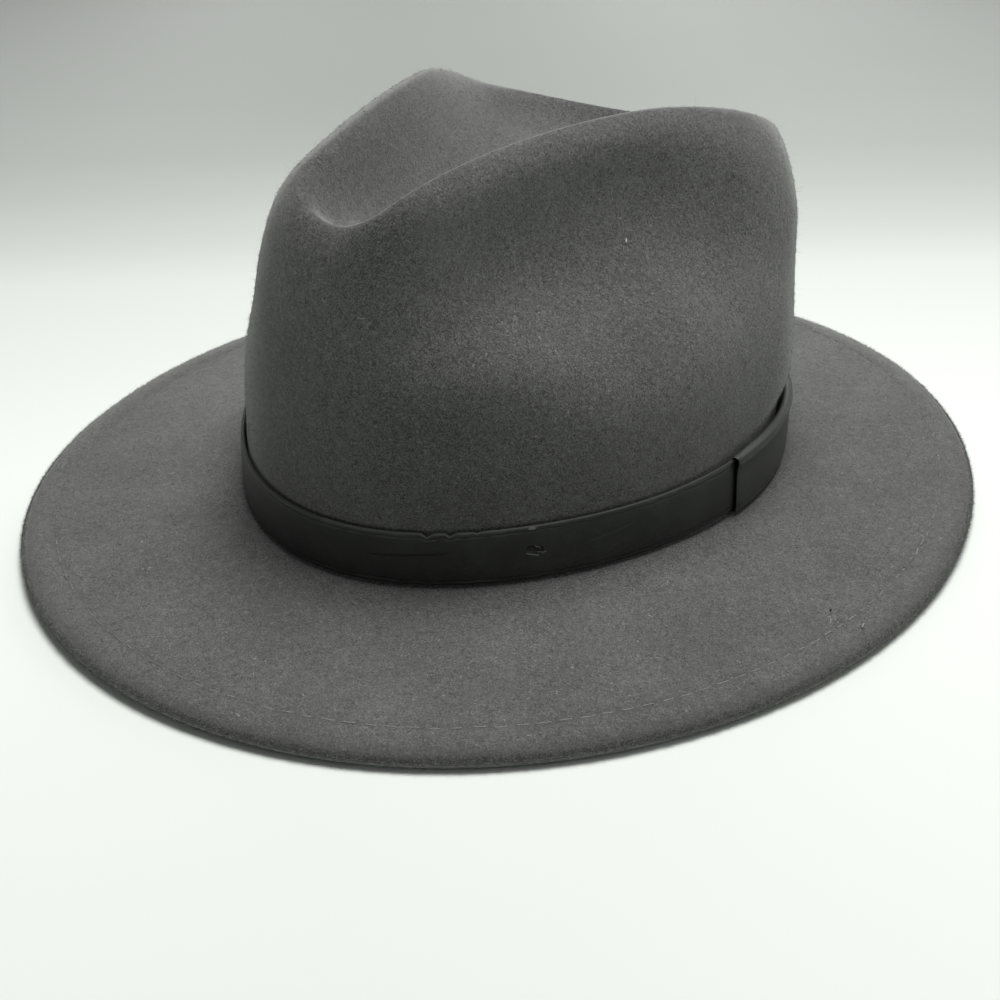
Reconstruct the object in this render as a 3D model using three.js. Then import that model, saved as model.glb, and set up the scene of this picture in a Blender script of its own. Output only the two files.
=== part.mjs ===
import * as THREE from 'three';

// A wide-brim felt hat standing on its brim. Millimetres, +Z up, front of the hat towards -Y.
// The wearer's left is +X. The origin lies under the middle of the brim, on the table.

// Brim, measured over the rounded edge.
const BRIM_LENGTH = 347;
const BRIM_WIDTH = 308;
const BRIM_SKEW = 0.006;
const BRIM_FELT = 2.7;
const EDGE_THICKNESS = 5.4;
const WELT_WIDTH = 11.5;
const EDGE_LIFT = 3.2;
const REST_DEPTH = 0.8;

// Break line, where the brim turns up into the crown.
const BREAK_HEIGHT = 8.7;
const BREAK_SIDE_LIFT = 3.3;
const BREAK_RADIUS = 1.6;

// Crown, measured over the outside of the felt at the break line.
const CROWN_LENGTH = 204;
const CROWN_WIDTH = 174.8;
const CROWN_OVAL = 0.03;
const CROWN_SET_BACK = 2;
const CROWN_HEIGHT = 117.7;
const CROWN_FELT = 2.2;
const SIDE_DENT_DEPTH = 24;
const TOP_DENT_DEPTH = 35;
const TOP_DENT_LENGTH = 140;

// Leather band round the foot of the crown and the loop over it on the wearer's left.
const BAND_HEIGHT = 17;
const BAND_THICKNESS = 1.8;
const BAND_CLEARANCE = 0.3;
const BAND_LIFT = 1;
const KEEPER_LENGTH = 78;
const KEEPER_ANGLE = 83;
const KEEPER_THICKNESS = 1.1;
const KEEPER_REACH = 1;
const KEEPER_BACK = 0.5;
const KEEPER_RAISE = 0.7;

// Columns round the hat: one every 5.625 degrees.
const COLUMNS = 64;
const STEP = (2 * Math.PI) / COLUMNS;

// Ridge of the crown by angle from the front: half-width, half-length and height as shares of the
// crown's, and how much of the top dent's depth lies beside it.
const RIDGE = [
  { angle: 0, across: 0, along: 0.871, height: 0.845, dent: 0.2 },
  { angle: 15, across: 0.137, along: 0.867, height: 0.877, dent: 0.3 },
  { angle: 30, across: 0.221, along: 0.775, height: 0.9337, dent: 0.55 },
  { angle: 45, across: 0.272, along: 0.549, height: 0.9694, dent: 0.8 },
  { angle: 60, across: 0.349, along: 0.304, height: 0.9915, dent: 0.95 },
  { angle: 75, across: 0.429, along: 0.0784, height: 0.9992, dent: 1 },
  { angle: 90, across: 0.521, along: -0.137, height: 0.9949, dent: 0.97 },
  { angle: 105, across: 0.612, along: -0.324, height: 0.9703, dent: 0.86 },
  { angle: 120, across: 0.674, along: -0.49, height: 0.9286, dent: 0.68 },
  { angle: 135, across: 0.672, along: -0.652, height: 0.872, dent: 0.5 },
  { angle: 150, across: 0.566, along: -0.794, height: 0.8309, dent: 0.36 },
  { angle: 165, across: 0.32, along: -0.892, height: 0.7961, dent: 0.26 },
  { angle: 180, across: 0, along: -0.922, height: 0.7842, dent: 0.22 },
];

// Crown wall from the break line up: height share, inward run towards the ridge as shares at the
// front, the sides and the rear, and the share of the side dent's depth at its front, its middle
// and its back.
const WALL = [
  { height: 0.03, front: 0.006, side: 0.004, rear: 0, before: 0, dent: 0, behind: 0 },
  { height: 0.1, front: 0.02, side: 0.014, rear: -0.005, before: 0, dent: 0, behind: 0 },
  { height: 0.19, front: 0.038, side: 0.027, rear: -0.012, before: 0, dent: 0, behind: 0 },
  { height: 0.22, front: 0.044, side: 0.032, rear: -0.17, before: 0, dent: 0, behind: 0 },
  { height: 0.28, front: 0.055, side: 0.042, rear: -0.21, before: 0, dent: 0, behind: 0 },
  { height: 0.36, front: 0.077, side: 0.061, rear: -0.21, before: 0, dent: 0.03, behind: 0 },
  { height: 0.44, front: 0.104, side: 0.089, rear: -0.185, before: 0, dent: 0.13, behind: 0.05 },
  { height: 0.51, front: 0.134, side: 0.121, rear: -0.135, before: 0, dent: 0.35, behind: 0.2 },
  { height: 0.57, front: 0.165, side: 0.155, rear: -0.08, before: 0.1, dent: 0.64, behind: 0.42 },
  { height: 0.63, front: 0.203, side: 0.198, rear: -0.025, before: 0.52, dent: 0.88, behind: 0.7 },
  { height: 0.69, front: 0.247, side: 0.25, rear: 0.03, before: 0.93, dent: 1, behind: 0.93 },
  { height: 0.75, front: 0.303, side: 0.31, rear: 0.09, before: 1.07, dent: 1, behind: 1 },
  { height: 0.81, front: 0.38, side: 0.395, rear: 0.18, before: 0.96, dent: 0.9, behind: 0.94 },
  { height: 0.87, front: 0.487, side: 0.5, rear: 0.3, before: 0.7, dent: 0.7, behind: 0.74 },
  { height: 0.92, front: 0.6, side: 0.62, rear: 0.44, before: 0.43, dent: 0.46, behind: 0.47 },
  { height: 0.965, front: 0.765, side: 0.78, rear: 0.66, before: 0.15, dent: 0.16, behind: 0.16 },
  { height: 0.992, front: 0.915, side: 0.92, rear: 0.85, before: 0.03, dent: 0.03, behind: 0.03 },
];

// Small round in the break between wall and brim, in shares of its radius.
const FILLET = [
  { out: 0.08, up: 0.6 },
  { out: 0.5, up: 0.15 },
];

// Side dent by angle from the front, as shares of its depth on the wearer's left and right.
const SIDE_DENT = [
  { angle: 0, left: 0, right: 0 },
  { angle: 22, left: 0.26, right: 0.02 },
  { angle: 40, left: 0.69, right: 0.15 },
  { angle: 58, left: 0.95, right: 0.42 },
  { angle: 76, left: 1, right: 0.6 },
  { angle: 91, left: 0.68, right: 0.5 },
  { angle: 104, left: 0.2, right: 0.17 },
  { angle: 116, left: -0.06, right: -0.06 },
  { angle: 132, left: -0.13, right: -0.13 },
  { angle: 152, left: -0.065, right: -0.065 },
  { angle: 180, left: 0, right: 0 },
];

// Top dent from the ridge in to its floor line: run towards the floor, share of the drop.
const TOP_DENT = [
  { run: 0.045, drop: 0.012 },
  { run: 0.1, drop: 0.075 },
  { run: 0.16, drop: 0.23 },
  { run: 0.23, drop: 0.46 },
  { run: 0.33, drop: 0.71 },
  { run: 0.48, drop: 0.9 },
  { run: 0.7, drop: 0.985 },
];

// Brim rings from the break line out, as shares of the run from the welt to the crown.
const BRIM_RUN = [0.94, 0.84, 0.7, 0.54, 0.37, 0.19, 0.05];

const smooth = (low, high, value) => {
  const share = Math.min(1, Math.max(0, (value - low) / (high - low)));
  return share * share * (3 - 2 * share);
};

// Value of one column of a table at an angle, by a smooth curve through its rows.
function lookUp(table, column, degrees) {
  const last = table.length - 1;
  let row = 0;
  while (row < last - 1 && degrees > table[row + 1].angle) row += 1;
  const a = table[row];
  const b = table[row + 1];
  const width = b.angle - a.angle;
  const before = table[row - 1];
  const after = table[row + 2];
  const chord = (b[column] - a[column]) / width;
  const slopeA = before ? (b[column] - before[column]) / (b.angle - before.angle) : null;
  const slopeB = after ? (after[column] - a[column]) / (after.angle - a.angle) : null;
  const isOdd = column === 'across';
  const startSlope = slopeA ?? (isOdd ? chord : 0);
  const endSlope = slopeB ?? (isOdd ? chord : 0);
  const s = (degrees - a.angle) / width;
  const s2 = s * s;
  const s3 = s2 * s;
  return (2 * s3 - 3 * s2 + 1) * a[column] + (s3 - 2 * s2 + s) * width * startSlope
    + (3 * s2 - 2 * s3) * b[column] + (s3 - s2) * width * endSlope;
}

// Angle from the front of a column, 0 to 180 degrees on either side.
function fromFront(angle) {
  return Math.abs((Math.atan2(Math.sin(angle), Math.cos(angle)) * 180) / Math.PI);
}

// How far the brim edge stands off the table: a slight twist, so it rests at the front left and
// rear right and lifts elsewhere.
function edgeLift(angle) {
  const wave = 0.44 - 0.415 * Math.sin(2 * angle) + 0.22 * Math.cos(2 * angle)
    - 0.16 * Math.cos(angle) + 0.125 * Math.sin(angle) + 0.08 * Math.cos(3 * angle)
    - 0.06 * Math.cos(4 * angle);
  return Math.max(0, EDGE_LIFT * wave - REST_DEPTH);
}

function breakHeight(angle) {
  return BREAK_HEIGHT - 0.5 * BREAK_SIDE_LIFT * Math.cos(2 * angle);
}

// Point of the crown wall's foot, grown outwards by a clearance.
function footPoint(angle, out) {
  const corner = Math.pow(Math.sin(2 * angle), 2) * (0.6 + 0.4 * Math.cos(angle));
  const draw = 1 - CROWN_OVAL * corner;
  return new THREE.Vector3(
    ((CROWN_WIDTH / 2) * draw + out) * Math.sin(angle),
    CROWN_SET_BACK - ((CROWN_LENGTH / 2) * draw + out) * Math.cos(angle),
    breakHeight(angle),
  );
}

function ridgePoint(angle) {
  const degrees = fromFront(angle);
  const side = Math.sin(angle) < 0 ? -1 : 1;
  return new THREE.Vector3(
    side * (CROWN_WIDTH / 2) * lookUp(RIDGE, 'across', degrees),
    CROWN_SET_BACK - (CROWN_LENGTH / 2) * lookUp(RIDGE, 'along', degrees),
    BREAK_HEIGHT + CROWN_HEIGHT * lookUp(RIDGE, 'height', degrees),
  );
}

function filletPoint(angle, row) {
  const point = footPoint(angle, BREAK_RADIUS * row.out);
  point.z += BREAK_RADIUS * row.up;
  return point;
}

// Point of the crown wall at one row of the wall table.
function wallPoint(angle, row) {
  const degrees = fromFront(angle);
  const frontShare = 1 - smooth(20, 70, degrees);
  const rearShare = smooth(85, 125, degrees);
  const sideShare = 1 - frontShare - rearShare;
  const run = frontShare * row.front + sideShare * row.side + rearShare * row.rear;
  const foot = footPoint(angle, 0);
  const ridge = ridgePoint(angle);
  const point = foot.clone().lerp(ridge, run);
  point.z = foot.z + (ridge.z - foot.z) * row.height;
  const inward = new THREE.Vector3(-Math.sin(angle), 0.35 * Math.cos(angle), 0).normalize();
  const onLeft = angle < Math.PI;
  const before = onLeft ? 1 - smooth(35, 65, degrees) : 0;
  const behind = smooth(58, 84, degrees);
  const dent = before * row.before + (1 - before - behind) * row.dent + behind * row.behind;
  const depth = SIDE_DENT_DEPTH * dent * lookUp(SIDE_DENT, onLeft ? 'left' : 'right', degrees);
  return point.addScaledVector(inward, depth);
}

// Floor line of the top dent, straight along the middle.
function floorPoint(angle) {
  const ridge = ridgePoint(angle);
  const drop = TOP_DENT_DEPTH * lookUp(RIDGE, 'dent', fromFront(angle));
  return new THREE.Vector3(0, CROWN_SET_BACK + 6 - (TOP_DENT_LENGTH / 2) * Math.cos(angle), ridge.z - drop);
}

function topDentPoint(angle, row) {
  const ridge = ridgePoint(angle);
  const floor = floorPoint(angle);
  const point = ridge.clone().lerp(floor, row.run);
  point.z = ridge.z + (floor.z - ridge.z) * row.drop;
  return point;
}

// Point over the brim's edge ellipse, drawn in by an inset.
function edgePoint(angle, inset, z) {
  const skew = 1 + BRIM_SKEW * Math.sin(2 * angle);
  return new THREE.Vector3(
    ((BRIM_WIDTH / 2) * skew - inset) * Math.sin(angle),
    -((BRIM_LENGTH / 2) * skew - inset) * Math.cos(angle),
    z,
  );
}

function brimPoint(angle, share) {
  const welt = edgePoint(angle, WELT_WIDTH, EDGE_THICKNESS + edgeLift(angle));
  const foot = footPoint(angle, BREAK_RADIUS);
  const point = welt.clone().lerp(foot, share);
  point.z = welt.z + (foot.z - welt.z) * Math.pow(share, 1.4);
  return point;
}

const ring = (makePoint) => Array.from({ length: COLUMNS }, (_, column) => makePoint(column * STEP));

// Upper face of the felt, from the floor line of the top dent out to the inner edge of the welt.
function upperRings() {
  const rings = [ring(floorPoint)];
  for (const row of [...TOP_DENT].reverse()) rings.push(ring((angle) => topDentPoint(angle, row)));
  rings.push(ring(ridgePoint));
  for (const row of [...WALL].reverse()) rings.push(ring((angle) => wallPoint(angle, row)));
  for (const row of FILLET) rings.push(ring((angle) => filletPoint(angle, row)));
  for (const share of [1, ...BRIM_RUN, 0]) rings.push(ring((angle) => brimPoint(angle, share)));
  return rings;
}

// Same rings moved through the felt by its thickness, square to the surface.
function underRings(rings) {
  const normals = rings.map(() => Array.from({ length: COLUMNS }, () => new THREE.Vector3()));
  for (let level = 0; level < rings.length - 1; level += 1) {
    for (let column = 0; column < COLUMNS; column += 1) {
      const next = (column + 1) % COLUMNS;
      const a = rings[level][column];
      const b = rings[level][next];
      const c = rings[level + 1][next];
      const d = rings[level + 1][column];
      const normal = new THREE.Vector3().crossVectors(
        new THREE.Vector3().subVectors(d, b),
        new THREE.Vector3().subVectors(c, a),
      );
      normal.normalize();
      for (const [l, k] of [[level, column], [level, next], [level + 1, next], [level + 1, column]]) {
        normals[l][k].add(normal);
      }
    }
  }
  for (let column = 0; column < COLUMNS; column += 1) {
    const mirror = (COLUMNS - column) % COLUMNS;
    if (mirror > column) {
      const sum = normals[0][column].clone().add(normals[0][mirror]);
      normals[0][column].copy(sum);
      normals[0][mirror].copy(sum);
    }
  }
  const lastCrown = TOP_DENT.length + 1 + WALL.length;
  return rings.map((points, level) => points.map((point, column) => {
    const thickness = level <= lastCrown ? CROWN_FELT : BRIM_FELT;
    return point.clone().addScaledVector(normals[level][column].normalize(), -thickness);
  }));
}

// Rounded edge of the brim and the underside of the welt folded beneath it.
function edgeRings() {
  const radius = EDGE_THICKNESS / 2;
  const rings = [];
  const shoulder = 0.55 * (WELT_WIDTH + radius);
  rings.push(ring((angle) => edgePoint(angle, shoulder, EDGE_THICKNESS + edgeLift(angle))));
  const nose = Math.cos(Math.PI / 10);
  for (const degrees of [90, 54, 18, -18, -54, -90]) {
    const turn = (degrees * Math.PI) / 180;
    rings.push(ring((angle) => edgePoint(
      angle,
      radius * (1 - Math.cos(turn) / nose),
      radius * (1 + Math.sin(turn)) + edgeLift(angle),
    )));
  }
  rings.push(ring((angle) => edgePoint(angle, WELT_WIDTH - 0.8, edgeLift(angle))));
  rings.push(ring((angle) => edgePoint(angle, WELT_WIDTH, 0.8 + edgeLift(angle))));
  return rings;
}

// Closed skin over rings of points; the first and last ring each fold shut along the middle line.
function feltGeometry() {
  const upper = upperRings();
  const under = underRings(upper);
  const inner = under.slice(0, -1).reverse();
  const loops = [...upper, ...edgeRings(), ...inner];
  const positions = [];
  const index = loops.map((points, level) => {
    const folds = level === 0 || level === loops.length - 1;
    const row = [];
    points.forEach((point, column) => {
      const mirror = COLUMNS - column;
      if (folds && column > COLUMNS / 2) {
        row.push(row[mirror]);
        return;
      }
      row.push(positions.length / 3);
      positions.push(folds ? 0 : point.x, point.y, point.z);
    });
    return row;
  });
  const faces = [];
  for (let level = 0; level < loops.length - 1; level += 1) {
    for (let column = 0; column < COLUMNS; column += 1) {
      const next = (column + 1) % COLUMNS;
      const a = index[level][column];
      const b = index[level][next];
      const c = index[level + 1][next];
      const d = index[level + 1][column];
      if (a !== b) faces.push(a, d, b);
      if (c !== d) faces.push(b, d, c);
    }
  }
  return closedGeometry(positions, faces);
}

function closedGeometry(positions, faces) {
  const geometry = new THREE.BufferGeometry();
  geometry.setAttribute('position', new THREE.Float32BufferAttribute(positions, 3));
  geometry.setIndex(faces);
  geometry.computeVertexNormals();
  return geometry;
}

// How far the loop pushes the band off the felt: full under the loop, fading beside it.
function loopPush(angle) {
  const degrees = (angle * 180) / Math.PI;
  const [start, end] = KEEPER_SPAN;
  return smooth(start - 16, start - 3, degrees) * (1 - smooth(end + 3, end + 16, degrees));
}

// Point on the crown wall at a height over the break line, moved square outwards.
function wallOffset(angle, out, up) {
  const rows = [
    ...FILLET.map((row) => filletPoint(angle, row)).reverse(),
    ...WALL.map((row) => wallPoint(angle, row)),
  ];
  const height = breakHeight(angle) + up;
  let level = 0;
  while (level < rows.length - 2 && rows[level + 1].z < height) level += 1;
  const share = (height - rows[level].z) / (rows[level + 1].z - rows[level].z);
  const point = rows[level].clone().lerp(rows[level + 1], share);
  const normal = new THREE.Vector3(Math.sin(angle) / CROWN_WIDTH, -Math.cos(angle) / CROWN_LENGTH, 0);
  return point.addScaledVector(normal.normalize(), out);
}

function bandPoint(angle, out, up) {
  const push = loopPush(angle);
  const behind = BAND_CLEARANCE + push * (KEEPER_BACK + BAND_CLEARANCE);
  return wallOffset(angle, behind + out, BAND_LIFT + push * KEEPER_RAISE + up);
}

// Stations round the wall where the loop lies, from its front end for its length.
function loopSpan() {
  const start = (KEEPER_ANGLE * Math.PI) / 180;
  let end = start;
  let walked = 0;
  while (walked < KEEPER_LENGTH && end < start + 2) {
    const here = footPoint(end, 0);
    end += 0.01;
    walked += here.distanceTo(footPoint(end, 0));
  }
  return [KEEPER_ANGLE, (end * 180) / Math.PI];
}

// Tube of quads through loops of points; closes on itself, or ends in open rims.
function tubeFaces(loops, count, closed, faces, base = 0) {
  const last = closed ? loops : loops - 1;
  for (let station = 0; station < last; station += 1) {
    const next = (station + 1) % loops;
    for (let k = 0; k < count; k += 1) {
      const a = base + station * count + k;
      const b = base + station * count + ((k + 1) % count);
      const c = base + next * count + ((k + 1) % count);
      const d = base + next * count + k;
      faces.push(a, c, b, a, d, c);
    }
  }
}

// Band section in (out, up) pairs, run round anticlockwise as seen along the travel.
function bandGeometry() {
  const soft = Math.min(0.5, 0.3 * BAND_THICKNESS);
  const section = [
    [0, 0],
    [BAND_THICKNESS - soft, 0],
    [BAND_THICKNESS, soft],
    [BAND_THICKNESS, BAND_HEIGHT / 2],
    [BAND_THICKNESS, BAND_HEIGHT - soft],
    [BAND_THICKNESS - soft, BAND_HEIGHT],
    [0, BAND_HEIGHT],
    [0, BAND_HEIGHT / 2],
  ];
  const positions = [];
  const faces = [];
  for (let column = 0; column < COLUMNS; column += 1) {
    for (const [out, up] of section) positions.push(...bandPoint(column * STEP, out, up));
  }
  tubeFaces(COLUMNS, section.length, true, faces);
  return closedGeometry(positions, faces);
}

// Loop of leather wrapped right round the band: outer skin, inner skin and two ring-shaped ends.
function keeperGeometry() {
  const gap = BAND_CLEARANCE;
  const wide = BAND_THICKNESS + gap + KEEPER_THICKNESS;
  const top = BAND_HEIGHT + gap + KEEPER_REACH;
  const bottom = -gap - KEEPER_BACK;
  const back = -gap - KEEPER_BACK;
  const inside = [
    [-gap, -gap],
    [BAND_THICKNESS + 0.5 * gap, -gap],
    [BAND_THICKNESS + gap, -0.5 * gap],
    [BAND_THICKNESS + gap, BAND_HEIGHT / 2],
    [BAND_THICKNESS + gap, BAND_HEIGHT + 0.5 * gap],
    [BAND_THICKNESS + 0.5 * gap, BAND_HEIGHT + gap],
    [-gap, BAND_HEIGHT + gap],
    [-gap, BAND_HEIGHT / 2],
  ];
  const outside = [
    [back, bottom],
    [wide - 0.7, bottom],
    [wide, bottom + 0.7],
    [wide, BAND_HEIGHT / 2],
    [wide, top - 0.8],
    [wide - 0.8, top],
    [back, top],
    [back, BAND_HEIGHT / 2],
  ];
  const [start, end] = KEEPER_SPAN.map((degrees) => (degrees * Math.PI) / 180);
  const stations = 1 + Math.ceil((end - start) / STEP);
  const count = outside.length;
  const positions = [];
  const faces = [];
  for (const section of [outside, inside]) {
    for (let station = 0; station < stations; station += 1) {
      const angle = start + ((end - start) * station) / (stations - 1);
      for (const [out, up] of section) positions.push(...bandPoint(angle, out, up));
    }
  }
  tubeFaces(stations, count, false, faces);
  const innerFaces = [];
  tubeFaces(stations, count, false, innerFaces, stations * count);
  for (let f = 0; f < innerFaces.length; f += 3) {
    faces.push(innerFaces[f], innerFaces[f + 2], innerFaces[f + 1]);
  }
  for (let k = 0; k < count; k += 1) {
    const next = (k + 1) % count;
    const inner = stations * count;
    const tail = (stations - 1) * count;
    faces.push(k, next, inner + next, k, inner + next, inner + k);
    faces.push(tail + k, inner + tail + next, tail + next, tail + k, inner + tail + k, inner + tail + next);
  }
  return closedGeometry(positions, faces);
}

const KEEPER_SPAN = loopSpan();

const group = new THREE.Group();
group.name = 'felt_hat';

function addMesh(name, geometry, colour, roughness) {
  const material = new THREE.MeshStandardMaterial({ color: colour, roughness, metalness: 0 });
  material.name = name;
  const mesh = new THREE.Mesh(geometry, material);
  mesh.name = name;
  group.add(mesh);
}

addMesh('felt_body', feltGeometry(), 0x656566, 0.95);
addMesh('hat_band', bandGeometry(), 0x1e211f, 0.5);
addMesh('band_keeper', keeperGeometry(), 0x252825, 0.5);

export default group;
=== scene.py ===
import math

import bmesh
import bpy
import numpy as np
from mathutils import Matrix, Vector
from mathutils.bvhtree import BVHTree
from mathutils.geometry import convex_hull_2d


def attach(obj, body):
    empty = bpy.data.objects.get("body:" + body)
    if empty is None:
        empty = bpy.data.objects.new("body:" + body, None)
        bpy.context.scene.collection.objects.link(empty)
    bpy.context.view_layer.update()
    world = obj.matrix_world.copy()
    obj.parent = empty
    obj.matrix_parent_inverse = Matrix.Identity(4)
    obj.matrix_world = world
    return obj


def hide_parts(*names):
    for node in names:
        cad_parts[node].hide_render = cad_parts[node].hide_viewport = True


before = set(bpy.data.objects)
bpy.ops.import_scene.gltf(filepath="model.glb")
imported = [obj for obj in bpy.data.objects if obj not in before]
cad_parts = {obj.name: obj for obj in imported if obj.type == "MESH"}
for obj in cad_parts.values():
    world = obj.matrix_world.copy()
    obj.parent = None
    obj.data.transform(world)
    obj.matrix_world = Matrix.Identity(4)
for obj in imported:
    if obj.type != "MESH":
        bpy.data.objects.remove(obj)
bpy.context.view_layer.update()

# ---------------------------------------------------------------- felt body
# Crown and brim are one body of grey wool felt, steamed, pressed over a block
# and creased by hand. The copy of the frame's shape is made finer, so that
# its bends and its folded edge are as round as felt. Lengths are in metres.
FELT_LEVELS = 2
SOFT_ABOVE = 0.092  # height over which the crown's creases are eased
MERGE_GAP = 0.00001
PAIR_ANGLE = math.radians(80)  # triangles that bend less than this become quads
FELT_DARK = (0.066, 0.067, 0.066, 1)
FELT_MIDDLE = (0.122, 0.123, 0.120, 1)
FELT_LIGHT = (0.215, 0.217, 0.211, 1)
FELT_PAINTED_SHEEN = (0.38, 0.385, 0.375, 1)  # painted sheen: paler felt where it is seen along its surface
FLECK_COLOR = (0.40, 0.40, 0.36, 1)
CROWN_STARTS = (0.055, 0.064)  # inside the brim's outline
PAINTED_EDGE_WIDTH = (0.0015, 0.0065)
EDGE_ROLL = 0.0014  # drop of the upper face at the very edge
EDGE_ROLL_WIDTH = 0.009
STITCH_INSET = 0.0108
STITCH_COUNT = 172


class Wire:
    """An output socket that takes part in sums: each operator adds its Math node."""

    def __init__(self, finish, socket):
        self.finish = finish
        self.socket = socket

    def sum(self, operation, first, second=0.0):
        values = {0: first, 1: second}
        return self.finish.node("ShaderNodeMath", {"operation": operation}, values)

    def __add__(self, other):
        return self.sum("ADD", self, other)

    def __sub__(self, other):
        return self.sum("SUBTRACT", self, other)

    def __rsub__(self, other):
        return self.sum("SUBTRACT", other, self)

    def __mul__(self, other):
        return self.sum("MULTIPLY", self, other)

    def __truediv__(self, other):
        return self.sum("DIVIDE", self, other)

    __radd__ = __add__
    __rmul__ = __mul__

    def size(self):
        return self.sum("ABSOLUTE", self)

    def most(self, other):
        return self.sum("MAXIMUM", self, other)

    def step(self, low, high):
        """0 below low, 1 above high, and a soft rise between them."""
        settings = {"interpolation_type": "SMOOTHSTEP"}
        values = {0: self, 1: low, 2: high, 3: 0.0, 4: 1.0}
        return self.finish.node("ShaderNodeMapRange", settings, values)


class Finish:
    """A material and its nodes. It ends in one Principled shader."""

    def __init__(self, name):
        self.material = bpy.data.materials.new(name)
        self.material.use_nodes = True
        self.tree = self.material.node_tree
        self.tree.nodes.clear()
        self.place = self.node("ShaderNodeTexCoord", {}, {}, "Object")

    def node(self, kind, settings, values, out=0):
        """One node: its settings first, then its sockets' values or links."""
        made = self.tree.nodes.new(kind)
        for name, value in settings.items():
            if name == "stops":
                ramp = made.color_ramp.elements
                while len(ramp) < len(value):
                    ramp.new(0.5)
                for stop, (position, color) in zip(ramp, value):
                    stop.position = position
                    stop.color = color
            else:
                setattr(made, name, value)
        for name, value in values.items():
            if isinstance(value, Wire):
                self.tree.links.new(value.socket, made.inputs[name])
            else:
                made.inputs[name].default_value = value
        return Wire(self, made.outputs[out]) if made.outputs else made

    def noise(self, scale, detail=2.0, rough=0.5, twist=0.0, place=None):
        """Cloudy values from 0 to 1, scale of them to a metre."""
        values = {
            "Vector": place or self.place, "Scale": scale, "Detail": detail,
            "Roughness": rough, "Distortion": twist,
        }
        return self.node("ShaderNodeTexNoise", {}, values, "Fac")

    def split(self, arrow):
        """The first two parts of a vector."""
        first = self.node("ShaderNodeSeparateXYZ", {}, {"Vector": arrow}, "X")
        return first, Wire(self, first.socket.node.outputs["Y"])

    def run_map(self):
        """How far along the piece a point lies, and where across it."""
        return self.split(self.node("ShaderNodeUVMap", {"uv_map": "run"}, {}))

    def ramp(self, stops, share):
        """A colour picked from a row of stops by a share of its length."""
        return self.node("ShaderNodeValToRGB", {"stops": stops}, {"Fac": share})

    def tone(self):
        """The grey of one thread or fibre, from 0 to 1, which its mesh carries."""
        return self.node("ShaderNodeAttribute", {"attribute_name": "tone"}, {}, "Fac")

    def mixed(self, share, first, second):
        """A colour that goes from the first to the second as its share grows."""
        settings = {"data_type": "RGBA"}
        return self.node("ShaderNodeMix", settings, {0: share, 6: first, 7: second}, 2)

    def stretched(self, scale, turn=(0.0, 0.0, 0.0), place=None):
        """Coordinates that are scaled along each axis, then turned."""
        values = {"Vector": place or self.place, "Rotation": turn, "Scale": scale}
        return self.node("ShaderNodeMapping", {}, values)

    def bump(self, height, distance):
        """The normals of a relief that is distance high where height is 1."""
        values = {"Strength": 1.0, "Distance": distance, "Height": height}
        return self.node("ShaderNodeBump", {}, values, "Normal")

    def close(self, values):
        """The material, once its one shader has these values and links."""
        shader = self.node("ShaderNodeBsdfPrincipled", {}, values)
        self.node("ShaderNodeOutputMaterial", {}, {"Surface": shader})
        return self.material


def finer_copy(node, levels, soft_above=1.0):
    """A CAD node's mesh, merged, paired and subdivided, its bends eased above a height."""
    shape = bmesh.new()
    shape.from_mesh(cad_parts[node].data)
    bmesh.ops.remove_doubles(shape, verts=shape.verts, dist=MERGE_GAP)
    bmesh.ops.join_triangles(
        shape, faces=shape.faces, angle_face_threshold=PAIR_ANGLE,
        angle_shape_threshold=PAIR_ANGLE,
    )
    bmesh.ops.smooth_vert(
        shape, verts=[v for v in shape.verts if v.co.z > soft_above], factor=0.5,
        use_axis_x=True, use_axis_y=True, use_axis_z=True,
    )
    coarse = bpy.data.meshes.new(node + "_coarse")
    shape.to_mesh(coarse)
    shape.free()
    coarse.materials.clear()
    holder = bpy.data.objects.new(node + "_holder", coarse)
    bpy.context.scene.collection.objects.link(holder)
    finer = holder.modifiers.new("finer", "SUBSURF")
    finer.levels = finer.render_levels = levels
    seen = holder.evaluated_get(bpy.context.evaluated_depsgraph_get())
    fine = bpy.data.meshes.new_from_object(seen)
    bpy.data.objects.remove(holder)
    bpy.data.meshes.remove(coarse)
    return fine


def points_of(mesh):
    flat = np.zeros(len(mesh.vertices) * 3)
    mesh.vertices.foreach_get("co", flat)
    return flat.reshape(-1, 3)


def put_points(mesh, points):
    mesh.vertices.foreach_set("co", points.ravel())
    mesh.update()


def outline_of(points):
    """The mesh's outline from above, closed, with the run along it.

    It starts at the foremost point near the middle line.
    """
    order = convex_hull_2d([Vector(p[:2]) for p in points])
    line = points[order][:, :2]
    start = np.argmin(line[:, 1] + 10 * (np.abs(line[:, 0]) > 0.01))
    line = np.roll(line, -start, axis=0)
    line = np.vstack([line, line[:1]])
    run = np.concatenate([[0], np.cumsum(np.linalg.norm(np.diff(line, axis=0), axis=1))])
    return line, run


def run_and_inset(points, line, run):
    """Where each point lies along an outline, and how far inside it, part by part."""
    start = line[:-1]
    along = np.diff(line, axis=0)
    length = np.linalg.norm(along, axis=1)
    runs, insets = [], []
    for part in np.array_split(points[:, :2], 40):
        offset = part[:, None, :] - start[None]
        share = np.clip((offset * along).sum(2) / length ** 2, 0, 1)
        away = np.linalg.norm(offset - share[..., None] * along, axis=2)
        nearest = away.argmin(axis=1)
        row = np.arange(len(part))
        insets.append(away[row, nearest])
        runs.append(run[nearest] + share[row, nearest] * length[nearest])
    return np.concatenate(runs), np.concatenate(insets)


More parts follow.
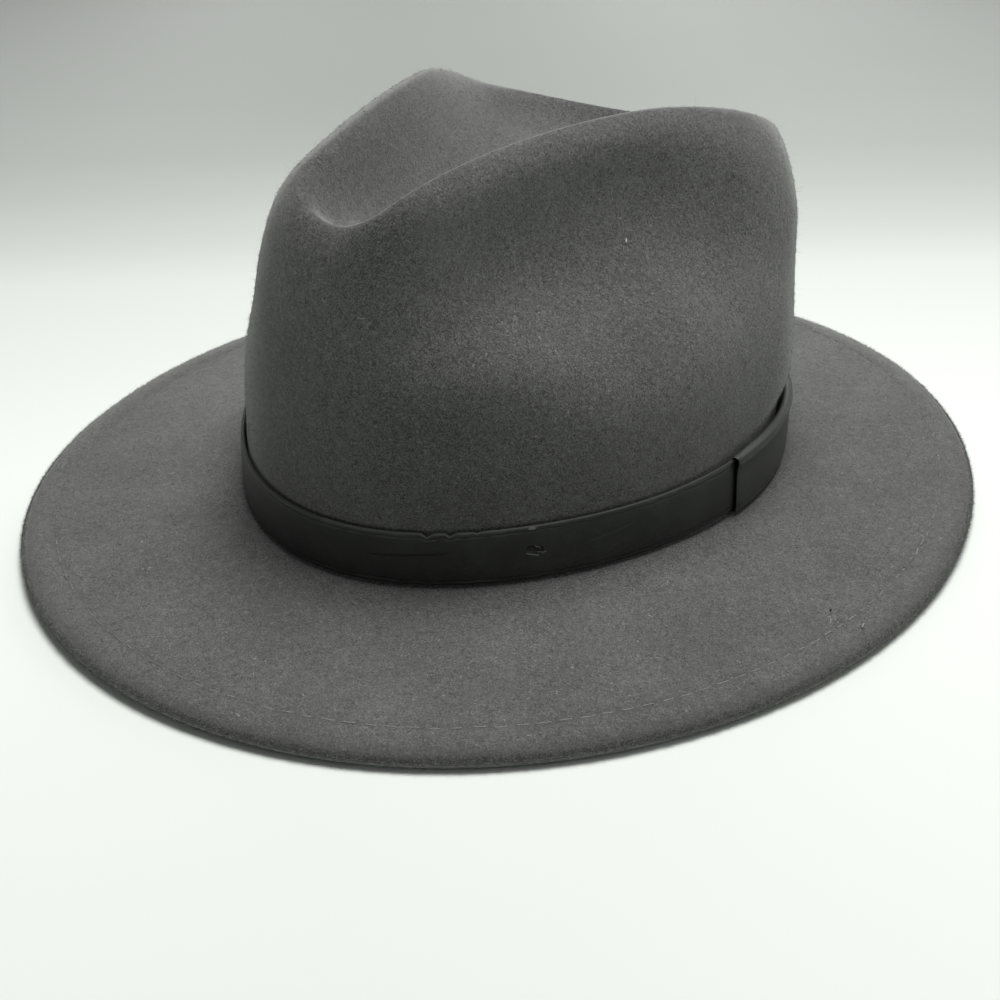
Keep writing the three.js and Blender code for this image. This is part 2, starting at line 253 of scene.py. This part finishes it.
def write_run_map(mesh, run, inset, whole):
    """A UV map named run: along the piece in metres, and across it.

    The face that closes the run goes on past the whole length, so that it isn't
    squeezed back to nought.
    """
    corners = np.zeros(len(mesh.loops), dtype=np.int32)
    mesh.loops.foreach_get("vertex_index", corners)
    counts = np.zeros(len(mesh.polygons), dtype=np.int32)
    mesh.polygons.foreach_get("loop_total", counts)
    face = np.repeat(np.arange(len(counts)), counts)
    u = run[corners]
    highest = np.zeros(len(counts))
    np.maximum.at(highest, face, u)
    u = np.where(highest[face] - u > whole / 2, u + whole, u)
    layer = mesh.uv_layers.new(name="run")
    layer.data.foreach_set("uv", np.stack([u, inset[corners]], axis=1).ravel())


def show(name, mesh, material, slot, *stands_for):
    """A finished piece, smooth, on the hat's one body, in place of any CAD nodes named."""
    piece = bpy.data.objects.new(name, mesh)
    bpy.context.scene.collection.objects.link(piece)
    mesh.materials.append(material)
    for face in mesh.polygons:
        face.use_smooth = True
    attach(piece, "root")
    if stands_for:
        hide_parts(*stands_for)


def wool_patches(finish):
    """Clouds 3 mm across, the same ones in the felt and in the fibres on it."""
    return finish.noise(330.0, 4.0, 0.65, 0.6)


def felt_color(finish, inside):
    """Wool of one dye in slightly different greys, with a painted sheen where it is seen
    edge-on, and its relief.
    """
    cloud = finish.noise(38.0, 3.0, 0.55)
    patch = wool_patches(finish)
    grain = finish.noise(1050.0, 3.0, 0.72, 2.2)
    crown = inside.step(*CROWN_STARTS)
    contrast = 1.45 + crown * 0.80
    grey = cloud * 0.22 + patch * 0.22 + (grain - 0.5) * contrast + 0.28
    stops = [(0.28, FELT_DARK), (0.5, FELT_MIDDLE), (0.74, FELT_LIGHT)]
    color = finish.ramp(stops, grey)
    flecks = finish.noise(420.0, 1.0, 0.5, 2.5).step(0.745, 0.775)
    color = finish.mixed(flecks * 0.7, color, FLECK_COLOR)
    # Painted sheen: the felt's colour turns paler where it is seen at a grazing angle.
    painted_sheen = finish.node("ShaderNodeLayerWeight", {}, {"Blend": 0.5}, "Facing")
    color = finish.mixed(painted_sheen.step(0.56, 1.0) * 0.70, color, FELT_PAINTED_SHEEN)
    relief = grain * (1.0 + crown * 0.9) * 0.22 + patch * 0.25 + cloud * 0.6
    return color, relief


def felt_finish():
    """Felt with a shallow groove at its stitches, darkened by painted shade, and painted
    shading at its rounded edge: painted shade on the upper side, painted light from the table
    on the lower side.
    """
    finish = Finish("grey_wool_felt")
    _, inside = finish.run_map()
    color, relief = felt_color(finish, inside)
    groove = 1 - (inside - STITCH_INSET).size().step(0.0002, 0.0024)
    pulled = finish.noise(60.0, 2.0).step(0.40, 0.62)
    normal = finish.bump(relief - groove * pulled * 0.30, 0.001)
    painted_edge_shading = 1 - inside.step(*PAINTED_EDGE_WIDTH)
    outward = finish.node("ShaderNodeNewGeometry", {}, {}, "Normal")
    height = finish.node("ShaderNodeSeparateXYZ", {}, {"Vector": outward}, "Z")
    upper = height.step(-0.3, 0.4)
    # Painted shade: the stitch groove and the upper side of the rounded edge are painted
    # darker.
    color = finish.mixed(groove * 0.14 + painted_edge_shading * upper * 0.40, color, FELT_DARK)
    # Painted light: the lower side of the rounded edge is painted paler, as if lit from the
    # table below.
    color = finish.mixed(painted_edge_shading * (1 - upper) * 0.5, color, FELT_LIGHT)
    return finish.close({
        "Base Color": color, "Roughness": 0.96, "Specular IOR Level": 0.25,
        "Sheen Weight": 0.45, "Sheen Roughness": 0.38,
        "Sheen Tint": (0.80, 0.80, 0.79, 1), "Normal": normal,
    })


felt = finer_copy("felt_body", FELT_LEVELS, SOFT_ABOVE)
felt_points = points_of(felt)
brim_line, brim_run = outline_of(felt_points)
run, inset = run_and_inset(felt_points, brim_line, brim_run)
felt_normals = np.zeros(len(felt.vertices) * 3)
felt.vertices.foreach_get("normal", felt_normals)
upward = np.clip(felt_normals[2::3] * 2, 0, 1)
near_edge = np.clip(1 - inset / EDGE_ROLL_WIDTH, 0, 1)
felt_points[:, 2] -= EDGE_ROLL * upward * near_edge ** 2
put_points(felt, felt_points)
write_run_map(felt, run, inset, brim_run[-1])
show("shaped_felt", felt, felt_finish(), "grey_felt", "felt_body")

# ---------------------------------------------------------- brim stitching
# A turned-under welt is held by one row of pale beige-grey thread, 11 mm in
# from the edge. It shows above and below as short dashes sunk in the nap.
THREAD_LENGTH = (0.0024, 0.0041)
THREAD_RADIUS = 0.00024
THREAD_DARK = (0.17, 0.165, 0.15, 1)
THREAD_PALE = (0.34, 0.33, 0.30, 1)
RUBBED_AT = 0.11  # share of the way round where the thread is rubbed bare
RUBBED_WIDTH = 0.15


def rod(sides, cuts, tip):
    """One closed thread or fibre along Z, from 0 to 1, with a radius of 1 and a tip."""
    shape = bmesh.new()
    bmesh.ops.create_cone(
        shape, cap_ends=True, segments=sides, radius1=1, radius2=tip, depth=1,
        matrix=Matrix.Translation((0, 0, 0.5)),
    )
    rails = [e for e in shape.edges if abs(e.verts[0].co.z - e.verts[1].co.z) > 0.5]
    if cuts:
        bmesh.ops.subdivide_edges(shape, edges=rails, cuts=cuts, use_grid_fill=True)
    bmesh.ops.triangulate(shape, faces=shape.faces)
    points = np.array([v.co[:] for v in shape.verts])
    faces = np.array([[v.index for v in f.verts] for f in shape.faces])
    shape.free()
    return points, faces


def laid_out(name, kind, start, ahead, side, length, radius, bend=0.0, tone=None):
    """Many like rods joined in one mesh: ahead and side are unit arrows for each."""
    points, faces = kind
    over = np.cross(ahead, side)
    x, y, z = points.T
    count = len(start)
    length = np.broadcast_to(length, count)[:, None, None]
    radius = np.broadcast_to(radius, count)[:, None, None]
    bend = np.broadcast_to(bend, count)[:, None, None]
    placed = start[:, None] + z[:, None] * length * ahead[:, None]
    placed = placed + radius * (x[:, None] * side[:, None] + y[:, None] * over[:, None])
    placed = placed + bend * length * (z * z)[:, None] * over[:, None]
    joined = faces[None] + len(points) * np.arange(count)[:, None, None]
    mesh = bpy.data.meshes.new(name)
    mesh.from_pydata(placed.reshape(-1, 3), [], joined.reshape(-1, 3).tolist())
    if tone is not None:
        layer = mesh.attributes.new("tone", "FLOAT", "POINT")
        layer.data.foreach_set("value", np.repeat(tone, len(points)))
    return mesh


felt_tree = BVHTree.FromPolygons(
    [Vector(p) for p in felt_points], [tuple(f.vertices) for f in felt.polygons]
)


def edge_place(run):
    """The place at a run along the brim's outline, seen from above."""
    return np.array([np.interp(run, brim_run, brim_line[:, axis]) for axis in (0, 1)])


def stitch_row(name, above, seed):
    """Dashes along the brim's edge, each laid on the felt that a plumb line meets."""
    chance = np.random.default_rng(seed)
    from_z, plumb = (0.2, Vector((0, 0, -1))) if above else (-0.05, Vector((0, 0, 1)))
    lengths = chance.uniform(*THREAD_LENGTH, STITCH_COUNT)
    starts, aheads, sides = [], [], []
    for k in range(STITCH_COUNT):
        at = (k + 0.5) / STITCH_COUNT * brim_run[-1] + chance.normal(0, 0.00012)
        edge = edge_place(at)
        ahead = Vector((*(edge_place(at + 0.002) - edge), 0)).normalized()
        inward = Vector((-ahead.y, ahead.x, 0))
        hole = Vector((*edge, from_z)) + inward * (STITCH_INSET + chance.normal(0, 0.0001))
        found, normal, _, _ = felt_tree.ray_cast(hole, plumb)
        ahead = (ahead - normal * ahead.dot(normal)).normalized()
        ahead = (ahead + ahead.cross(normal) * chance.normal(0, 0.05)).normalized()
        sunk = normal * chance.uniform(-0.00004, 0.00016)
        starts.append(found - ahead * lengths[k] / 2 - sunk)
        aheads.append(ahead)
        sides.append(ahead.cross(normal).normalized())
    around = (np.arange(STITCH_COUNT) + 0.5) / STITCH_COUNT
    rubbed = np.exp(-((around - RUBBED_AT) / RUBBED_WIDTH) ** 2)
    tone = np.clip(0.25 + 0.80 * rubbed + chance.normal(0, 0.16, STITCH_COUNT), 0, 1)
    return laid_out(
        name, rod(6, 5, 1), np.array(starts), np.array(aheads), np.array(sides),
        lengths, THREAD_RADIUS, tone=tone,
    )


def thread_finish():
    """Twisted thread, its ply in two greys, dull where the nap covers it."""
    finish = Finish("beige_grey_thread")
    ply = finish.noise(3200.0, 2.0)
    color = finish.mixed(ply, THREAD_DARK, THREAD_PALE)
    color = finish.mixed(finish.tone(), FELT_MIDDLE, color)
    normal = finish.bump(ply, 0.0002)
    return finish.close({"Base Color": color, "Roughness": 0.8, "Normal": normal})


thread = thread_finish()
show("brim_stitching", stitch_row("brim_stitching", True, 11), thread, "grey_felt")
show("welt_stitching", stitch_row("welt_stitching", False, 12), thread, "grey_felt")

# --------------------------------------------------------------------- nap
# Wool felt is brushed: short fibres lie over its whole face, and a few long
# ones stand away from it. They are joined slivers, each one a closed solid.
FIBRE_PALE = (0.36, 0.36, 0.345, 1)
FIBRE_SUNK = 0.00006
SHORT = (0.0006, 0.0017)
LONG = (0.0014, 0.0034)
FOOT_HEIGHT = 0.003  # fibres that start below this rise, clear of the table
CROWN_OVAL = (0.092, 0.107)  # half width and half length, like the next three
BRIM_FROM_OVAL = (0.094, 0.108)
HOLLOW_OVAL = (0.085, 0.100)
BRIM_OVAL = (0.154, 0.1735)


def scattered(mesh, count, chance, weight):
    """Spots spread by area over the faces that weight picks, as places and normals."""
    mesh.calc_loop_triangles()
    corners = np.zeros(len(mesh.loop_triangles) * 3, dtype=np.int32)
    mesh.loop_triangles.foreach_get("vertices", corners)
    points = points_of(mesh)
    a, b, c = (points[corners.reshape(-1, 3)[:, i]] for i in range(3))
    normal = np.cross(b - a, c - a)
    twice_area = np.linalg.norm(normal, axis=1)
    normal = normal / np.maximum(twice_area, 1e-15)[:, None]
    share = twice_area * weight((a + b + c) / 3, normal)
    chosen = chance.choice(len(share), count, p=share / share.sum())
    p, q = chance.random((2, count))
    over = p + q > 1
    p, q = np.where(over, 1 - p, p)[:, None], np.where(over, 1 - q, q)[:, None]
    spot = a[chosen] + p * (b[chosen] - a[chosen]) + q * (c[chosen] - a[chosen])
    return spot, normal[chosen]


def nap(name, kind, count, seed, weight, lean, length, radius, bend=0.0):
    """Fibres that lean off the felt by random angles, none of them below the table."""
    chance = np.random.default_rng(seed)
    spot, normal = scattered(felt, count, chance, weight)
    loose = chance.normal(size=(count, 3))
    flat = loose - (loose * normal).sum(1)[:, None] * normal
    flat /= np.linalg.norm(flat, axis=1)[:, None]
    tilt = np.radians(chance.uniform(*lean, count))[:, None]
    ahead = flat * np.cos(tilt) + normal * np.sin(tilt)
    low = spot[:, 2] < FOOT_HEIGHT
    ahead[:, 2] = np.where(low, np.abs(ahead[:, 2]), ahead[:, 2])
    side = np.cross(ahead, normal)
    side /= np.linalg.norm(side, axis=1)[:, None]
    lengths = chance.uniform(*length, count)
    start = spot - normal * FIBRE_SUNK
    bends = -np.abs(chance.normal(0, bend, count)) if bend else 0.0
    return laid_out(
        name, kind, start, ahead, side, lengths, radius, bends, chance.random(count)
    )


def fibre_finish():
    """The felt's greys, one for each fibre, and clouded as the felt under it is."""
    finish = Finish("loose_wool")
    patch = wool_patches(finish)
    stops = [(0.1, FELT_DARK), (0.55, FELT_MIDDLE), (0.97, FIBRE_PALE)]
    color = finish.ramp(stops, finish.tone() * 0.75 + patch * 0.3)
    return finish.close({
        "Base Color": color, "Roughness": 0.9, "Specular IOR Level": 0.3,
        "Sheen Weight": 0.3, "Sheen Roughness": 0.5,
    })


def share_out(middle, oval):
    """How far out a place lies: 1 on an oval round the hat's middle."""
    return np.hypot(middle[:, 0] / oval[0], middle[:, 1] / oval[1])


def on_crown(middle, normal):
    over = share_out(middle, CROWN_OVAL) < 1
    return over * (normal[:, 2] > -0.6) * (middle[:, 2] > 0.028)


def on_brim(middle, normal):
    return (share_out(middle, BRIM_FROM_OVAL) > 1) * (normal[:, 2] > -0.3)


def under_brim(middle, normal):
    beyond = share_out(middle, HOLLOW_OVAL) > 1
    return beyond * (normal[:, 2] < -0.3) * (middle[:, 2] < 0.04)


def on_edge(middle, normal):
    return (share_out(middle, BRIM_OVAL) > 0.93) * (np.abs(normal[:, 2]) < 0.85)


def outside(middle, normal):
    return np.maximum(on_crown(middle, normal), on_brim(middle, normal))


loose_wool = fibre_finish()
sliver = rod(3, 0, 0.0)
hair = rod(3, 3, 0.4)
# Each row: name, shape, count, seed, where, lean in degrees, length, radius, bend.
for row in [
    ("crown_nap", sliver, 42000, 21, on_crown, (4, 45), SHORT, 0.000065),
    ("brim_nap", sliver, 42000, 22, on_brim, (4, 45), SHORT, 0.000045),
    ("underbrim_nap", sliver, 21000, 23, under_brim, (4, 45), SHORT, 0.000045),
    ("edge_fuzz", sliver, 36000, 25, on_edge, (20, 85), (0.0006, 0.0016), 0.00005),
    ("stray_fibres", hair, 3000, 24, outside, (12, 60), LONG, 0.000022, 0.45),
]:
    show(row[0], nap(*row), loose_wool, "grey_felt")

# -------------------------------------------------------------------- lint
# Four bits of dust and lint lie on the felt where the photograph shows them:
# a white one on the crown, and a black and two grey ones on the brim. Each is
# a short rod, given by its place, its length and its tone from 0 to 1.
LINT = [
    ((0.0499, -0.0142, 0.0922), 0.0013, 1.0), ((0.1332, -0.0378, 0.0056), 0.0009, 0.0),
    ((0.1426, -0.0037, 0.0055), 0.0011, 0.20), ((0.1438, -0.0407, 0.0054), 0.0023, 0.4),
]
LINT_RADIUS = 0.00026
LINT_RAISED = 0.0003
LINT_WAY = np.array((0.19, 0.98, 3.0))  # up and to the rear, along the felt
LINT_BLACK = (0.012, 0.012, 0.012, 1)
LINT_WHITE = (0.85, 0.85, 0.80, 1)


def lint_finish():
    finish = Finish("lint")
    speckle = finish.noise(4000.0, 1.0)
    color = finish.mixed(finish.tone(), LINT_BLACK, LINT_WHITE)
    color = finish.mixed(speckle * 0.3, color, FELT_MIDDLE)
    return finish.close({"Base Color": color, "Roughness": 0.8})


places, lint_lengths, lint_tones = zip(*LINT)
felt_below = [felt_tree.find_nearest(Vector(place)) for place in places]
lint_normal = np.array([found[1] for found in felt_below])
lint_start = np.array([found[0] for found in felt_below]) + lint_normal * LINT_RAISED
lint_ahead = LINT_WAY - lint_normal * (lint_normal @ LINT_WAY)[:, None]
lint_ahead /= np.linalg.norm(lint_ahead, axis=1)[:, None]
lint = laid_out(
    "lint", rod(8, 3, 0.5), lint_start, lint_ahead, np.cross(lint_ahead, lint_normal),
    np.array(lint_lengths), LINT_RADIUS, tone=np.array(lint_tones),
)
show("lint", lint, lint_finish(), "grey_felt")

# --------------------------------------------------------------- hat band
# A strap of black leather, 17 mm high, goes round the foot of the crown. Its
# edges are cut and creased, and its top edge has nicks and one torn spot.
BAND_LEVELS = 3
BAND_HEIGHT = 0.017
BAND_DARK = (0.0115, 0.0134, 0.0113, 1)
BAND_LIGHT = (0.025, 0.0275, 0.0238, 1)
SPECK_COLOR = (0.030, 0.032, 0.030, 1)
SCRATCH_COLOR = (0.045, 0.047, 0.043, 1)
# Paler leather at the cut edges and creases: partly wear, partly a painted highlight along the
# top edge.
WORN_AND_HIGHLIGHT_COLOR = (0.080, 0.085, 0.076, 1)
SCUFF_COLOR = (0.060, 0.062, 0.056, 1)
TORN_FIBRE = (0.20, 0.20, 0.17, 1)
# Painted shade, nearly black, in the slack crease and in the torn spot's holes.
PAINTED_SHADE_BLACK = (0.003, 0.003, 0.003, 1)
CREASES_AT = (0.08, 0.90)  # shares of the band's height
MAP_SLOTS = 64  # parts of the strap's length, each with its own foot and top
# Each nick: its run along the band, its depth and its width, in metres.
BAND_NICKS = [(0.0341, 0.0014, 0.0010), (0.0408, 0.0013, 0.0009), (0.0486, 0.0006, 0.0008)]


def blot(place, at, size):
    """1 at one place of a piece's map, and 0 at a distance of size from it."""
    along, across = place
    u = (along - at[0]) / size[0]
    v = (across - at[1]) / size[1]
    return 1 - (u * u + v * v).step(0.35, 1.0)


def streak(place, start, end, width):
    """1 along a straight line of a piece's map, and 0 at a distance of width from it."""
    along, across = place
    ahead = Vector((end[0] - start[0], (end[1] - start[1]) * BAND_HEIGHT))
    length = ahead.length
    ahead.normalize()
    u = along - start[0]
    v = (across - start[1]) * BAND_HEIGHT
    gone = u * ahead.x + v * ahead.y
    beside = (u * ahead.y - v * ahead.x).size()
    ends = gone.step(0.0, length * 0.2) * (1 - gone.step(length * 0.8, length))
    return ends * (1 - beside.step(width * 0.4, width))


def leather_finish(name, shift, dark, light, rough, marks):
    """Fine-grained leather with creased, rubbed edges, paler along its cut edges and creases
    as wear and as a painted highlight, and a piece's own marks.
    """
    finish = Finish(name)
    place = finish.node(
        "ShaderNodeMapping", {}, {"Vector": finish.place, "Location": (shift, 0, 0)}
    )
    along, high = finish.run_map()
    cells = finish.node(
        "ShaderNodeTexVoronoi", {"feature": "DISTANCE_TO_EDGE"},
        {"Vector": place, "Scale": 1500.0}, "Distance",
    )
    grain = cells.step(0.0, 0.25)
    blotch = finish.noise(90.0, 4.0, 0.6, 0.4, place)
    speck = finish.noise(700.0, 3.0, 0.7, 0.5, place)
    long_way = finish.stretched((40.0, 40.0, 900.0), place=place)
    scratch = finish.noise(1.0, 4.0, 0.7, 0.8, long_way).step(0.66, 0.72)
    broken = finish.noise(160.0, 2.0, 0.5, 0.0, place).step(0.35, 0.6)
    low_crease, high_crease = (
        1 - (high - at).size().step(0.012, 0.030) for at in CREASES_AT
    )
    creases = high_crease.most(low_crease)
    cut = high.step(0.955, 0.975) + 1 - high.step(0.0, 0.03)
    rubbed = 0.45 + (1 - along.step(0.050, 0.085)) * 0.55
    color = finish.mixed(blotch.step(0.3, 0.75), dark, light)
    color = finish.mixed(speck.step(0.55, 0.75) * 0.35, color, SPECK_COLOR)
    color = finish.mixed(scratch * 0.35, color, SCRATCH_COLOR)
    # Wear and painted highlight: the cut edges and the creases are painted paler, most at the
    # strap's start.
    worn_and_highlight = (cut * 0.85 + creases * broken * 0.6 * (rubbed - 0.3)) * rubbed
    color = finish.mixed(worn_and_highlight, color, WORN_AND_HIGHLIGHT_COLOR)
    height = grain * 0.25 + blotch * 0.9 - scratch * 0.3 - creases * 1.1
    for (tint, share, depth), mark in marks((along, high)):
        color = finish.mixed(mark * share, color, tint)
        height = height - mark * depth
    roughness = rough + blotch * 0.16 + cut * 0.12 - grain * 0.05
    return finish.close({
        "Base Color": color, "Roughness": roughness, "Specular IOR Level": 0.45,
        "Normal": finish.bump(height, 0.0001),
    })


def strap_map(mesh):
    """The strap's map: the run along it in metres, and its height as a share."""
    points = points_of(mesh)
    line, run = outline_of(points)
    along, _ = run_and_inset(points, line, run)
    slots = np.minimum((along / run[-1] * MAP_SLOTS).astype(int), MAP_SLOTS - 1)
    low, high = np.full(MAP_SLOTS, np.inf), np.full(MAP_SLOTS, -np.inf)
    np.minimum.at(low, slots, points[:, 2])
    np.maximum.at(high, slots, points[:, 2])
    share = (points[:, 2] - low[slots]) / (high - low)[slots]
    write_run_map(mesh, along, share, run[-1])
    return points, along, share


def band_marks(place):
    """Colour, share and depth of each mark, and then where it is: two scratches, a slack
    crease in painted shade, two specks, the torn spot's holes in painted shade, fibres and
    fluff, and the nicks' lips."""
    return [
        ((SCUFF_COLOR, 0.75, 0.5), streak(place, (0.0795, 0.50), (0.0985, 0.68), 0.00022)),
        ((SCUFF_COLOR, 0.45, 0.4), streak(place, (0.0865, 0.22), (0.0935, 0.44), 0.00016)),
        # The slack crease here and the torn spot's holes below are darkened with painted
        # shade.
        ((PAINTED_SHADE_BLACK, 0.55, 2.0), streak(place, (0.0150, 0.52), (0.0430, 0.62), 0.00055)),
        ((SCUFF_COLOR, 0.40, 0.0), blot(place, (0.0455, 0.34), (0.0006, 0.030))),
        ((SCUFF_COLOR, 0.40, 0.0), blot(place, (0.0490, 0.42), (0.0004, 0.025))),
        ((PAINTED_SHADE_BLACK, 0.95, 5.0), blot(place, (0.0642, 0.59), (0.0013, 0.065))),
        ((PAINTED_SHADE_BLACK, 0.95, 5.0), blot(place, (0.0668, 0.55), (0.0012, 0.055))),
        ((TORN_FIBRE, 0.90, -2.0), streak(place, (0.0622, 0.52), (0.0668, 0.44), 0.00030)),
        ((TORN_FIBRE, 0.75, -2.0), streak(place, (0.0650, 0.66), (0.0672, 0.56), 0.00024)),
        ((TORN_FIBRE, 0.70, -2.0), streak(place, (0.0668, 0.46), (0.0690, 0.50), 0.00024)),
        ((TORN_FIBRE, 0.80, 0.0), blot(place, (0.0646, 0.965), (0.0014, 0.030))),
        ((SCUFF_COLOR, 0.90, -3.0), streak(place, (0.0318, 0.90), (0.0372, 0.86), 0.00026)),
        ((SCUFF_COLOR, 0.90, -3.0), streak(place, (0.0385, 0.87), (0.0440, 0.90), 0.00026)),
    ]


band = finer_copy("hat_band", BAND_LEVELS)
band_points, band_along, band_share = strap_map(band)
for nick_run, nick_depth, nick_width in BAND_NICKS:
    near = np.exp(-((band_along - nick_run) / nick_width) ** 2)
    band_points[:, 2] -= nick_depth * near * np.clip((band_share - 0.8) / 0.2, 0, 1)
put_points(band, band_points)
band_leather = leather_finish("black_leather", 0.0, BAND_DARK, BAND_LIGHT, 0.35, band_marks)
show("leather_band", band, band_leather, "band_leather", "hat_band")

# ------------------------------------------------------------ band keeper
# A second piece of the same leather is folded over the band on the wearer's
# left, where the ends of the band meet. Its folded top edge stands 1 mm up.
# The keeper's greys are lighter than the band's, though it is the same leather: painted light
# on the keeper.
KEEPER_DARK = (0.019, 0.0215, 0.0183, 1)
KEEPER_LIGHT = (0.038, 0.042, 0.0355, 1)
KEEPER_MARK = (0.10, 0.10, 0.09, 1)
KEEPER_PUFF = 0.0007  # how far the folded top swells outwards
PUFF_RISE = np.array((0, 0, 0.4))


def keeper_marks(place):
    """One small pale mark near the folded top."""
    return [((KEEPER_MARK, 0.5, 0.5), blot(place, (0.0150, 0.80), (0.0004, 0.03)))]


keeper = finer_copy("band_keeper", BAND_LEVELS)
keeper_points, _, keeper_share = strap_map(keeper)
rolled = np.exp(-((keeper_share - 0.90) / 0.10) ** 2)[:, None]
away = keeper_points * (1, 1, 0)
away /= np.linalg.norm(away, axis=1)[:, None]
put_points(keeper, keeper_points + KEEPER_PUFF * rolled * (away + PUFF_RISE))
keeper_leather = leather_finish(
    "keeper_leather", 0.37, KEEPER_DARK, KEEPER_LIGHT, 0.33, keeper_marks
)
show("leather_keeper", keeper, keeper_leather, "keeper_leather", "band_keeper")

# ---------------------------------------------------------------- studio
# The hat lies on a pale table under a wide soft light, with a weak one behind
# it and one beside it. The camera stands before the wearer's left, 29 degrees
# above the table.
AZIMUTH = math.radians(34.0)
ELEVATION = math.radians(28.9)
ROLL = math.radians(-0.44)
AIM = Vector((0.0495, -0.0807, 0.0362))
CAMERA_DISTANCE = 0.3922
CAMERA_LENS = 50.4
SENSOR_WIDTH = 36.0
TABLE_RADIUS = 4.0
TABLE_TURN = -AZIMUTH - math.radians(3.0)  # so that its greys run across the picture
# The table's grey at each distance behind the hat's middle, in metres: painted shade that
# darkens the board as the light falls off behind the hat.
TABLE_GREYS = [
    (0.0, 0.870), (0.15, 0.725), (0.19, 0.69), (0.215, 0.635), (0.24, 0.58), (0.265, 0.54),
    (0.29, 0.51), (0.33, 0.46), (0.41, 0.40), (0.55, 0.37), (0.95, 0.34),
]
TABLE_PAINTED_SHADE = (0.18, 0.20, 0.175, 1)
TABLE_CLOUD = (0.80, 0.80, 0.80, 1)
LIGHT_AIM = Vector((0, 0, 0.05))

back = Vector((
    math.sin(AZIMUTH) * math.cos(ELEVATION), -math.cos(AZIMUTH) * math.cos(ELEVATION),
    math.sin(ELEVATION),
))
level = Vector((math.cos(AZIMUTH), math.sin(AZIMUTH), 0))
upright = back.cross(level)
right = math.cos(ROLL) * level + math.sin(ROLL) * upright
up = -math.sin(ROLL) * level + math.cos(ROLL) * upright
camera = bpy.data.objects.new("camera", bpy.data.cameras.new("camera"))
camera.data.lens = CAMERA_LENS
camera.data.sensor_width = SENSOR_WIDTH
camera.data.clip_start = 0.02
turn = Matrix((right, up, back)).transposed().to_4x4()
camera.matrix_world = Matrix.Translation(AIM + back * CAMERA_DISTANCE) @ turn
bpy.context.scene.collection.objects.link(camera)
bpy.context.scene.camera = camera
bpy.context.scene.view_settings.view_transform = "Standard"


def table_finish():
    """Matt pale board with painted shade that darkens it with the distance behind the hat,
    most of all behind the hat's middle.
    """
    finish = Finish("pale_table")
    aside, behind = finish.split(finish.stretched((1.0, 1.0, 1.0), (0, 0, TABLE_TURN)))
    stops = [(at, (grey, grey * 1.046, grey * 0.984, 1)) for at, grey in TABLE_GREYS]
    color = finish.ramp(stops, behind)
    # Painted shade: a darker patch far behind the hat's middle.
    painted_shade_behind = behind.step(0.30, 0.50) * (1 - aside.size().step(0.02, 0.24))
    color = finish.mixed(painted_shade_behind * 0.30, color, TABLE_PAINTED_SHADE)
    color = finish.mixed(finish.noise(3.0) * 0.06, color, TABLE_CLOUD)
    return finish.close({"Base Color": color, "Roughness": 0.85})


table = bmesh.new()
bmesh.ops.create_circle(table, cap_ends=True, segments=64, radius=TABLE_RADIUS)
table_mesh = bpy.data.meshes.new("table")
table.to_mesh(table_mesh)
table.free()
table_mesh.materials.append(table_finish())
table_top = bpy.data.objects.new("table", table_mesh)
bpy.context.scene.collection.objects.link(table_top)


def soft_light(name, place, width, depth, power):
    """A lit panel that faces the hat."""
    lamp = bpy.data.lights.new(name, "AREA")
    lamp.shape = "RECTANGLE"
    lamp.size, lamp.size_y = width, depth
    lamp.energy = power
    holder = bpy.data.objects.new(name, lamp)
    place = Vector(place)
    aim = (LIGHT_AIM - place).to_track_quat("-Z", "Y")
    holder.matrix_world = Matrix.Translation(place) @ aim.to_matrix().to_4x4()
    bpy.context.scene.collection.objects.link(holder)


soft_light("overhead_light", (0.0, 0.25, 1.35), 0.8, 0.7, 19.8)
soft_light("back_light", (-0.62, 1.05, 0.45), 0.9, 0.45, 4.0)
soft_light("side_light", (1.2, 0.5, 0.7), 0.8, 0.6, 1.2)

world = bpy.data.worlds.new("studio")
bpy.context.scene.world = world
world.use_nodes = True
air = world.node_tree.nodes["Background"]
air.inputs["Color"].default_value = (0.93, 0.96, 0.94, 1)
air.inputs["Strength"].default_value = 0.145
